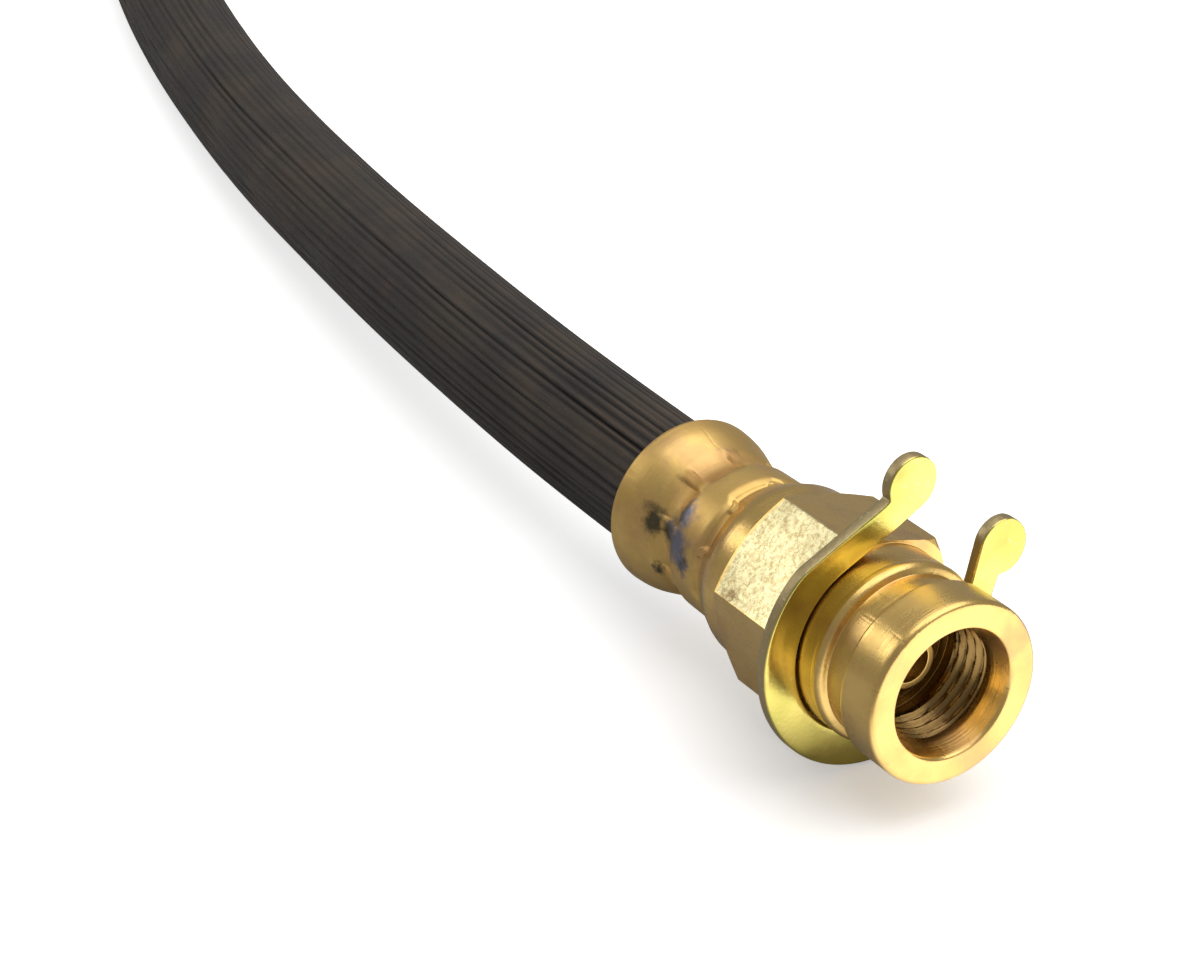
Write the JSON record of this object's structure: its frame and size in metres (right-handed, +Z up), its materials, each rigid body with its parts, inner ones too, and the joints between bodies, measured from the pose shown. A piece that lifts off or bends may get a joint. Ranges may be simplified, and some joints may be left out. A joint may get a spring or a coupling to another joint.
{
  "type": "hydraulic brake hose",
  "caption": "Flexible rubber brake hose with a crimped brass port fitting, a horseshoe clip on its neck, and a male threaded end fitting.",
  "frame": {"origin": "centre of the threaded port's mouth, on the nose face", "axes": "+X out of the port along the fitting's axis, +Z up with the hose lying on the plane Z = -10 mm"},
  "size_m": [0.2964, 0.0994, 0.0236],
  "materials": {
    "brass_body": "machined",
    "steel_stem": "satin",
    "clip_zinc": "yellow zinc plated",
    "cover_rubber": "matt, finely ribbed",
    "braid_fabric": "woven",
    "washer_copper": "annealed copper"
  },
  "bodies": {
    "hose": {"port_body": "brass_body", "flare_seat": "brass_body", "port_stem": "steel_stem", "hose_cover": "cover_rubber", "outer_braid": "braid_fabric", "cushion_layer": "cover_rubber", "inner_braid": "braid_fabric", "inner_tube": "cover_rubber", "end_body": "brass_body", "end_stem": "steel_stem"},
    "clip": {"retaining_clip": "clip_zinc"},
    "washer": {"copper_washer": "washer_copper"}
  },
  "joints": [
    {"name": "clip_slide", "type": "slide", "parent": "hose", "child": "clip", "axis": [1, 0, 0], "range_m": [0, 0.02]},
    {"name": "washer_slide", "type": "slide", "parent": "hose", "child": "washer", "axis": [-0.7979, 0.6028, 0], "range_m": [0, 0.02]}
  ]
}
